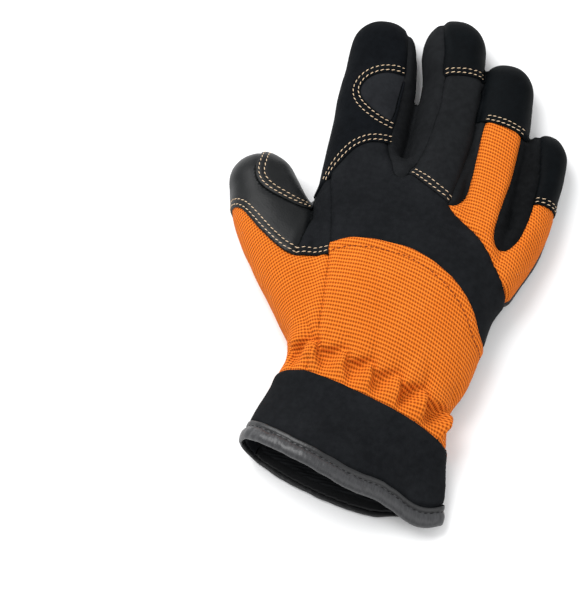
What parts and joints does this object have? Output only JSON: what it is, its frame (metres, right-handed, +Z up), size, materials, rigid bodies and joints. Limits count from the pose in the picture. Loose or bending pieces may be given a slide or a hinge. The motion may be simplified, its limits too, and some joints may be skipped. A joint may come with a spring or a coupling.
{
  "type": "child work glove",
  "caption": "Right-hand child work glove lying palm down, with an open cuff, a hollow palm and fingers, orange knit back panels and black leather palm and fingertips",
  "frame": {"origin": "on the surface it lies on, under the middle of the glove's box", "axes": "+Z up, out of the back of the hand; +Y towards the fingertips; +X towards the little finger"},
  "size_m": [0.1206, 0.2018, 0.0281],
  "materials": {
    "leather": "black smooth synthetic leather, soft sheen",
    "softshell": "black matt softshell cloth",
    "knit": "orange coarse rib knit",
    "tape": "grey satin binding tape, puckered",
    "lining": "black fine knit lining"
  },
  "bodies": {
    "root": {"cuff_band": "softshell", "index_patch": "softshell", "index_wrap": "leather", "middle_tip_cap": "leather", "ring_tip_cap": "leather", "little_tip_cap": "leather", "gusset_index_middle": "softshell", "gusset_middle_ring": "softshell", "gusset_ring_little": "softshell", "middle_back": "softshell", "finger_back_panel": "knit", "thumb_tip": "leather", "thumb_back": "leather", "side_strip": "softshell", "knuckle_band": "softshell", "thumb_panel": "knit", "back_panel": "knit", "palm_panel": "leather", "cuff_binding": "tape", "cuff_lining": "lining"}
  },
  "joints": []
}
